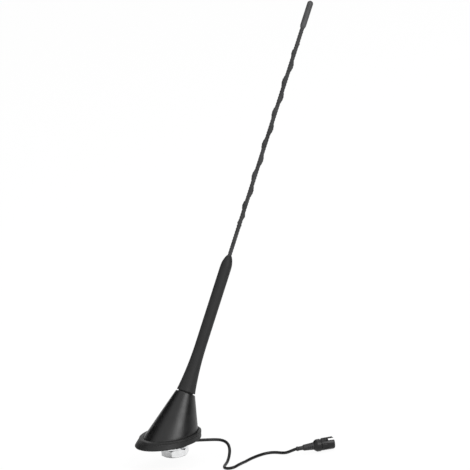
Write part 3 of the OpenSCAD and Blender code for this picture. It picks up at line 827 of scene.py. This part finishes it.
def make_cover():
    length, width, ahead = COVER
    foot = SOLE + GAP
    inner_top = SEAT_HEIGHT - COVER_TOP
    flat_d = COVER_TOP_D - 2 * COVER_CHAMFER
    low = oval(length, width, ahead, GASKET_HEIGHT)
    high = raked_circle(COVER_TOP_D, SEAT_HEIGHT - COVER_CHAMFER)
    flat = raked_circle(flat_d, SEAT_HEIGHT)
    rings = [oval(length, width, ahead, foot), low]
    rings += [between(low, high, s) for s in np.linspace(0, 1, 14)[1:-1]]
    # The shoulder and the rim of the flat top are rounded by an arc each
    rings += arcs(between(low, high, 0.988), high, between(high, flat, 0.4))
    plain = raked_circle(flat_d - COVER_RIM_ROUND, SEAT_HEIGHT)
    rings += arcs(between(high, flat, 0.6), flat, plain)
    rings += [
        raked_circle(COVER_HOLE_D + 2 * COVER_HOLE_CHAMFER, SEAT_HEIGHT),
        raked_circle(COVER_HOLE_D, SEAT_HEIGHT - COVER_HOLE_CHAMFER),
        raked_circle(COVER_HOLE_D, inner_top),
        raked_circle(COVER_TOP_D - 2 * COVER_WALL, inner_top),
    ]
    inner_high = raked_circle(COVER_TOP_D - 2 * COVER_WALL, inner_top - COVER_CHAMFER)
    inner_length, inner_width = length - 2 * COVER_WALL, width - 2 * COVER_WALL
    inner = oval(inner_length, inner_width, ahead, GASKET_HEIGHT)
    rings += [inner_high, between(inner_high, inner, 0.5), inner]
    rings += [oval(inner_length, inner_width, ahead, foot)]
    piece = finish_mesh("cone_cover", skinned(rings), "cover", "root")
    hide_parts("base_cover")


# Gasket

# Rows of share of the way from the foot's outline to the rim's, height, and inset there
GASKET_PROFILE = [
    (0, 0, 0.9), (0, 0.12, 0.35), (0, 0.5, 0.06), (0.02, 1.0, 0), (0.12, 1.6, 0.02),
    (0.35, 2.8, 0.12), (0.6, 4.1, 0.02), (0.8, 5.0, 0), (0.86, 5.2, 0.2), (0.9, 5.4, 0.22),
    (0.94, 5.6, 0), (1, 6.0, -0.05), (1, 6.5, -0.05), (1, 6.85, 0.08), (1, 7.02, 0.3),
    (1, GASKET_HEIGHT, 0.7),
]
POCKET_CHAMFER = 0.4
PAD_HOLE_CHAMFER = 0.3
# Shallow channels between the sealing ribs of the underside, as shares of its width
CHANNELS = ((0.16, 0.34), (0.56, 0.72), (0.8, 0.93))
CHANNEL_SLOPE = 0.03
CHANNEL_DEPTH = 0.45
SOLE_INSET = 0.9


def make_gasket():
    length, width, ahead = GASKET_FOOT
    rings = []
    for share, z, inset in GASKET_PROFILE:
        mid = [between(a, b, share) for a, b in zip(GASKET_FOOT, GASKET_RIM)]
        rings.append(oval(mid[0] - 2 * inset, mid[1] - 2 * inset, mid[2], z))
    pocket = (COVER[0] + 2 * GAP, COVER[1] + 2 * GAP, COVER[2])
    mouth = (pocket[0] + 2 * POCKET_CHAMFER, pocket[1] + 2 * POCKET_CHAMFER, pocket[2])
    rings += [oval(*mouth, GASKET_HEIGHT), oval(*pocket, GASKET_HEIGHT - POCKET_CHAMFER)]
    hole_d = PAD_D + 2 * GAP
    wide_d = hole_d + 2 * PAD_HOLE_CHAMFER
    inner = oval(wide_d, wide_d, 0, 0)
    rings += [oval(*pocket, SOLE), oval(hole_d, hole_d, 0, SOLE)]
    rings += [oval(hole_d, hole_d, 0, PAD_HOLE_CHAMFER), inner]
    outer = oval(length - 2 * SOLE_INSET, width - 2 * SOLE_INSET, ahead, 0)
    for start, end in CHANNELS:
        rows = [(start, 0), (start + CHANNEL_SLOPE, CHANNEL_DEPTH)]
        rows += [(end - CHANNEL_SLOPE, CHANNEL_DEPTH), (end, 0)]
        for share, z in rows:
            edge = between(inner, outer, share)
            edge[:, 2] = z
            rings.append(edge)
    piece = finish_mesh("flared_gasket", skinned(rings), "gasket", "root")
    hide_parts("gasket")


# Casting and nut

STUD_CUT_Z = 0.05
NUT_MAJOR_R = STUD_D / 2 + STUD_THREAD_PLAY
NUT_FACE_INSET = 0.7
NUT_CHAMFER_SLOPE = math.radians(30)


def make_casting():
    """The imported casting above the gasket's underside, on a stud with a real thread."""
    bm = bmesh.new()
    bm.from_mesh(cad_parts["base_casting"].data)
    bmesh.ops.remove_doubles(bm, verts=bm.verts, dist=MERGE_M)
    everything = bm.verts[:] + bm.edges[:] + bm.faces[:]
    plane = {"plane_co": (0, 0, STUD_CUT_Z * MM), "plane_no": (0, 0, 1)}
    bmesh.ops.bisect_plane(bm, geom=everything, clear_inner=True, **plane)
    bmesh.ops.triangle_fill(bm, use_beauty=True, edges=[e for e in bm.edges if e.is_boundary])
    radii = (STUD_BORE / 2, STUD_D / 2)
    ends = (-STUD_LENGTH, STUD_CUT_Z)
    thread = threaded_rod(on_stud(), *radii, STUD_PITCH, STUD_THREAD_DEPTH, *ends)
    half = SLOT_WIDTH / 2
    slot_place = on_stud() @ Matrix.Rotation(SLOT_ANGLE, 4, "Z")
    slot = box_at(slot_place, (0, -half, -STUD_LENGTH - 1), (STUD_D, half, SLOT_TOP))
    stud = combined(thread, [slot])
    piece = finish_mesh("cast_base", merged(bm, stud), "cast", "root", sharp=25)
    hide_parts("base_casting")


def make_nut():
    corner_r, flat_r = NUT_FLATS / math.sqrt(3), NUT_FLATS / 2
    face_r = flat_r - NUT_FACE_INSET
    drop = (corner_r - flat_r + NUT_FACE_INSET) * math.tan(NUT_CHAMFER_SLOPE)
    hub_r, rim_r = NUT_MAJOR_R - 0.6, corner_r + 0.01
    low = NUT_TOP - NUT_T
    place = on_stud(low)
    outer = [
        (hub_r, 0), (face_r, 0), (rim_r, drop), (rim_r, NUT_T - drop), (face_r, NUT_T),
        (hub_r, NUT_T),
    ]
    barrel = revolved(outer, place, 180)
    column = [(0, -1), (corner_r, -1), (corner_r, NUT_T + 1), (0, NUT_T + 1)]
    hexagon = revolved(column, place @ Matrix.Rotation(NUT_TURN, 4, "Z"), 6)
    body = combined(barrel, [hexagon], "INTERSECT")
    # The bore is cut by a rod that carries the stud's own thread, a little larger
    thread = (NUT_MAJOR_R, STUD_PITCH, STUD_THREAD_DEPTH)
    ends = (low - STUD_PITCH * 2, NUT_TOP + STUD_PITCH * 2)
    rod = threaded_rod(on_stud(), CORE_R, *thread, *ends)
    body = combined(body, [rod, mouth_cone(low, 1), mouth_cone(NUT_TOP, -1)])
    piece = finish_mesh("roof_nut", body, "steel", "nut", sharp=25)
    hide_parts("hex_nut")


def mouth_cone(z, inward):
    """The countersink at an end of the nut's bore, which goes up (1) or down (-1) from it."""
    r = NUT_MAJOR_R
    section = [
        (0, -0.4 * inward), (r + 0.7, -0.4 * inward), (r + 0.3, 0), (r - 0.9, 1.2 * inward),
        (0, 1.2 * inward),
    ]
    return revolved(section, on_stud(z), 72)


# Lead fittings

LEAD_BORE_R = CORD_D / 2 + GAP
BOOT_SPIGOT = 3.4
BOOT_SLOT_ROWS = 3
BOOT_SLOT_WIDTH = 2.4
BOOT_SLOT_LENGTH = 0.9


def make_relief():
    start = STUD_BORE / 2 + 0.3
    bore, r = LEAD_BORE_R, RELIEF_D / 2
    waist = r - 0.08
    section = [
        (bore, start), (r, start), (r, start + 5), (waist, start + 5.3), (waist, start + 5.8),
        (r, start + 6.1), (bore + 0.12, RELIEF_REACH), (bore, RELIEF_REACH),
    ]
    bm = revolved(rounded(section, [0, 0.05, 0, 0, 0, 0, 0.05, 0]), on_exit(), 48)
    piece = finish_mesh("exit_relief", bm, "boot", "root")
    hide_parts("strain_relief")


def make_collar():
    bore, r, length = LEAD_BORE_R, CRIMP_D / 2, CRIMP_LENGTH - GAP
    section = [
        (bore, 0), (r - 0.3, 0), (r, 0.35), (r, length - 0.3), (r - 0.25, length), (bore, length),
    ]
    bm = revolved(rounded(section, [0, 0.15, 0.2, 0.2, 0.1, 0]), on_plug(), 64)
    piece = finish_mesh("lead_collar", bm, "boot", "root")
    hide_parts("crimp_collar")
    return piece


def make_boot():
    bore, r = LEAD_BORE_R, BOOT_D / 2
    thin = CRIMP_D / 2 - 0.25
    span = BOOT_LENGTH - CRIMP_LENGTH
    end = span + BOOT_SPIGOT
    section = [
        (bore, 0), (thin, 0), (thin + 0.1, span * 0.27), (r - 0.8, span * 0.33),
        (r - 0.5, span * 0.6), (r - 0.15, span * 0.88), (r, span), (r - 1, span),
        (r - 1, end), (bore, end),
    ]
    radii = [0, 0.25, 0.5, 0.6, 3, 1, 0.2, 0, 0.2, 0]
    bm = revolved(rounded(section, radii, math.radians(8)), on_plug(CRIMP_LENGTH), 96)
    half = BOOT_SLOT_WIDTH / 2
    slots = []
    for k in range(4):
        place = on_plug(CRIMP_LENGTH, math.pi / 2 * k)
        for i in range(BOOT_SLOT_ROWS):
            at = span * (0.56 + 0.14 * i)
            slots.append(box_at(place, (r - 0.9, -half, at), (r + 2, half, at + BOOT_SLOT_LENGTH)))
    piece = finish_mesh("plug_boot", combined(bm, slots), "boot", "root")
    softened(piece, 0.08)
    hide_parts("bend_boot")
    return piece


# Plug

PLUG_CORE_R = 0.7
SOCKET_DEPTH = 3.6
RECESS_TURNS = [math.radians(90 + 45 * k) for k in range(5)]
RECESS_WIDTH = 1.4
RECESS_DEPTH = 0.5
RECESS_SPAN = (2.4, 6.8)
# How far the tongue's rib starts past the flange, and ends short of the mouth
RIB_START = 1.6
RIB_END = 1.2


def make_plug():
    foot = BOOT_LENGTH + GAP
    length = PLUG_LENGTH - foot
    back = length - MOUTH_DEPTH
    r, barrel, boot_r = FLANGE_D / 2, BARREL_D / 2, BOOT_D / 2
    neck = barrel - 0.7
    socket_r, mouth_r = boot_r - 0.9, MOUTH_D / 2
    section = [
        (PLUG_CORE_R, SOCKET_DEPTH), (socket_r, SOCKET_DEPTH), (socket_r, 0), (boot_r + 0.4, 0),
        (r - (r - boot_r) * 0.3, 1.4), (r, 3), (r, FLANGE_LENGTH - 0.4), (r - 0.4, FLANGE_LENGTH),
        (neck, FLANGE_LENGTH), (neck, FLANGE_LENGTH + 0.9), (barrel, FLANGE_LENGTH + 0.9),
        (barrel, length - 0.9), (barrel - 0.6, length), (mouth_r + 0.15, length),
        (mouth_r, length - 0.15), (mouth_r, back), (PLUG_CORE_R, back),
    ]
    radii = [0, 0.1, 0, 0.2, 1.2, 1.2, 0.2, 0.15, 0.15, 0.15, 0.2, 0.4, 0.2, 0.05, 0.05, 0.1, 0]
    body = revolved(rounded(section, radii), on_plug(foot), 96)
    # The latch tongue is a raised rib between two open slots
    rib_foot = foot + FLANGE_LENGTH + RIB_START
    half = TONGUE_W / 2
    rib_top = (barrel + TONGUE_RISE, half, PLUG_LENGTH - RIB_END)
    rib = box_at(on_plug(0, PLUG_TOP), (mouth_r + 0.3, -half, rib_foot), rib_top)
    body = combined(body, [rib], "UNION")
    slot_turn = math.asin((TONGUE_W + KEY_W + 0.2) / BARREL_D)
    slot_low, slot_high = (mouth_r - 1.5, -KEY_W / 2, -KEY_DEPTH), (BARREL_D, KEY_W / 2, 1.5)
    tools = []
    for side in (-slot_turn, slot_turn):
        tools.append(box_at(on_plug(PLUG_LENGTH, PLUG_TOP + side), slot_low, slot_high))
    half = RECESS_WIDTH / 2
    start, end = RECESS_SPAN
    for turn in RECESS_TURNS:
        place = on_plug(foot + FLANGE_LENGTH, PLUG_TOP + turn)
        tools.append(box_at(place, (barrel - RECESS_DEPTH, -half, start), (barrel + 2, half, end)))
    piece = finish_mesh("plug_body", combined(body, tools), "plug", "root")
    softened(piece, 0.1)
    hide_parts("plug_shell")
    return piece


# Carried-over nodes

NODE_MATERIALS = {
    "whip_rod": "fibre",
    "mast_ferrule": "brass",
    "seal_ring": "rubber",
    "cover_screws": "steel",
    "socket_bush": "brass",
    "socket_insulator": "white",
    "contact_strip": "brass",
    "circuit_board": "board",
    "screening_can": "tin",
    "board_screws": "steel",
    "toothed_washer": "steel",
    "plug_insulator": "white",
    "screen_contact": "tin",
    "centre_contact": "brass",
}


def dress_nodes():
    for name, material in NODE_MATERIALS.items():
        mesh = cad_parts[name].data
        mesh.materials.clear()
        mesh.materials.append(MATERIALS[material])


# Floor and world

FLOOR_SIDE_M = 12
FLOOR_GREY = 0.86
FLOOR_GLOW = 1.06
# What the camera sees of the floor's own light and shadow, and a mirror of its glow
LIT_SHARE = 0.12
MIRRORED_SHARE = 0.75
WORLD_LEVEL = 0.45


def backdrop_share(tree, camera=1.0, mirror=1.0):
    """A share for rays from the camera or glass, another from a mirror, and 0 for all others."""
    path = tree.nodes.new("ShaderNodeLightPath")
    rays = {"Is Camera Ray": camera, "Is Transmission Ray": camera, "Is Glossy Ray": mirror}
    total = None
    for name, share in rays.items():
        scaled = tree.nodes.new("ShaderNodeMath")
        scaled.operation = "MULTIPLY"
        scaled.inputs[1].default_value = share
        tree.links.new(path.outputs[name], scaled.inputs[0])
        if total is None:
            total = scaled.outputs[0]
            continue
        most = tree.nodes.new("ShaderNodeMath")
        most.operation = "MAXIMUM"
        tree.links.new(total, most.inputs[0])
        tree.links.new(scaled.outputs[0], most.inputs[1])
        total = most.outputs[0]
    return total


def mixed(tree, share, first, second, target):
    """Feeds target a mix of two shaders."""
    mix = tree.nodes.new("ShaderNodeMixShader")
    tree.links.new(share, mix.inputs["Fac"])
    tree.links.new(first.outputs[0], mix.inputs[1])
    tree.links.new(second.outputs[0], mix.inputs[2])
    tree.links.new(mix.outputs[0], tree.nodes[target].inputs["Surface"])


def matt_material(name, grey, rough):
    material = bpy.data.materials.new(name)
    material.use_nodes = True
    shader = material.node_tree.nodes["Principled BSDF"]
    shader.inputs["Base Color"].default_value = (grey, grey, grey, 1)
    shader.inputs["Roughness"].default_value = rough
    return material, material.node_tree, shader


def make_floor():
    mesh = bpy.data.meshes.new("studio_floor")
    half = FLOOR_SIDE_M / 2
    corners = [(-half, -half, 0), (half, -half, 0), (half, half, 0), (-half, half, 0)]
    mesh.from_pydata(corners, [], [(0, 1, 2, 3)])
    floor = linked("studio_floor", mesh)
    floor.location = (0, 0, FLOOR_Z * MM)
    material, tree, shader = matt_material("studio_floor", FLOOR_GREY, 0.9)
    shader.inputs["Specular IOR Level"].default_value = 0.0
    glow = tree.nodes.new("ShaderNodeEmission")
    glow.inputs["Strength"].default_value = FLOOR_GLOW
    share = backdrop_share(tree, 1 - LIT_SHARE, MIRRORED_SHARE)
    mixed(tree, share, shader, glow, "Material Output")
    mesh.materials.append(material)


def make_world():
    world = bpy.data.worlds.new("studio")
    world.use_nodes = True
    tree = world.node_tree
    plain = tree.nodes["Background"]
    white = tree.nodes.new("ShaderNodeBackground")
    for node, strength in ((plain, WORLD_LEVEL), (white, 1)):
        node.inputs["Color"].default_value = (1, 1, 1, 1)
        node.inputs["Strength"].default_value = strength
    mixed(tree, backdrop_share(tree), plain, white, "World Output")
    bpy.context.scene.world = world


# Lamps. Each has its way from the middle of the mast, its distance in metres, its width and
# height in metres, and its watts.

LAMPS = {
    "key_lamp": ((-0.02, -0.83, 0.56), 1.3, (0.62, 0.9), 7.2),
    "fill_lamp": ((0.9, 0.35, 0.5), 1.6, (0.5, 0.8), 2),
    "top_lamp": ((0.2, 0.1, 1), 1.6, (1.0, 1.0), 5),
}


def make_lights():
    """Soft lamps that face the middle of the mast."""
    for name, (towards, distance_m, size_m, watts) in LAMPS.items():
        data = bpy.data.lights.new(name, "AREA")
        data.shape = "RECTANGLE"
        data.size, data.size_y = size_m
        data.energy = watts
        lamp = linked(name, data)
        away = Vector(towards).normalized()
        lamp.location = rake_point(MAST_LENGTH / 2) * MM + away * distance_m
        lamp.rotation_mode = "QUATERNION"
        lamp.rotation_quaternion = away.to_track_quat("Z", "Y")


# Cards that show only in reflections: painted dark reflections and painted shade on the floor.
# Their angles are in degrees, counted to the right from the way to the camera.

WAY_TO_CAMERA = math.atan2(-math.cos(CAMERA_AZIMUTH), math.sin(CAMERA_AZIMUTH))
# Dark cards that paint dark reflections on the edges of the cover and the gasket; they block no
# light and cast no shadow
FLAGS = {"front_dark_reflection": (59, 108), "left_dark_reflection": (-152, -96), "right_dark_reflection": (108, 166)}
FLAG_DISTANCE_M = 2.4
FLAG_RISE = (2, 70)
DARK_REFLECTION_GREY = 0.004
# Cards on the floor that paint shade into the nut's reflections: a grey one for the floor's shade
# under the gasket to the nut's left, a dark disc for the nut's contact shadow
SHADE_CARD_REACH = (20, 150)
SHADE_CARD_TURNS = (-128, -62)
SHADE_CARD_Z = FLOOR_Z + 0.2
PAINTED_SHADE_GREY = 0.75
SHADOW_CARD_R = 24
SHADOW_CARD_SIDES = 48
SHADOW_CARD_Z = FLOOR_Z + 0.3
PAINTED_SHADOW_GREY = 0.05


def hang_card(name, mesh, grey):
    """Makes a matt card of the mesh, which only reflections show, so that it paints a dark
    reflection or a shade there.
    """
    card = linked(name, mesh)
    mesh.materials.append(matt_material(name, grey, 1)[0])
    card.visible_camera = False
    card.visible_diffuse = False
    card.visible_transmission = False
    card.visible_shadow = False


def make_flag(name, start, end):
    """A dark card beside the set, curved round the mast, which paints dark reflections on the
    parts' edges and blocks no light.
    """
    middle = rake_point(MAST_LENGTH / 2) * MM
    across = np.radians(np.linspace(start, end, 12)) + WAY_TO_CAMERA
    bm = bmesh.new()
    rows = []
    for rise in np.radians(np.linspace(*FLAG_RISE, 10)):
        level, height = FLAG_DISTANCE_M * math.cos(rise), FLAG_DISTANCE_M * math.sin(rise)
        ways = [Vector((level * math.cos(a), level * math.sin(a), height)) for a in across]
        rows.append([bm.verts.new(middle + way) for way in ways])
    for lower, upper in zip(rows, rows[1:]):
        for k in range(len(lower) - 1):
            bm.faces.new((lower[k], lower[k + 1], upper[k + 1], upper[k]))
    hang_card(name, mesh_from(bm, name), DARK_REFLECTION_GREY)


def lay_card(name, spots, z, grey):
    """A level card with its corners at the given reaches and angles."""
    mesh = bpy.data.meshes.new(name)
    corners = [(r * MM * math.cos(a), r * MM * math.sin(a), z * MM) for r, a in spots]
    mesh.from_pydata(corners, [], [tuple(range(len(corners)))])
    hang_card(name, mesh, grey)


def make_cards():
    # A grey card left of the nut paints the shade under the gasket into the nut's side faces, and a
    # dark disc under it paints the nut's contact shadow into the reflection of its lower edge
    near, far = SHADE_CARD_REACH
    start, end = (WAY_TO_CAMERA + math.radians(turn) for turn in SHADE_CARD_TURNS)
    spots = [(near, start), (near, end), (far, end), (far, start)]
    lay_card("painted_shade_card", spots, SHADE_CARD_Z, PAINTED_SHADE_GREY)
    spots = [(SHADOW_CARD_R, a) for a in turns_of(SHADOW_CARD_SIDES)]
    lay_card("painted_shadow_card", spots, SHADOW_CARD_Z, PAINTED_SHADOW_GREY)
    for name, (start, end) in FLAGS.items():
        make_flag(name, start, end)


bpy.context.scene.view_settings.view_transform = "Standard"
make_camera()
cord, cord_length = make_leads()
make_sleeve()
make_whip()
make_cap()
make_mast_stud()
make_cover()
make_gasket()
make_casting()
make_nut()
make_relief()
plug_pieces = [make_collar(), make_boot(), make_plug()]
dress_nodes()
plug_pieces += [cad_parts[n] for n in ("plug_insulator", "screen_contact", "centre_contact")]
make_floor()
make_world()
make_lights()
make_cards()
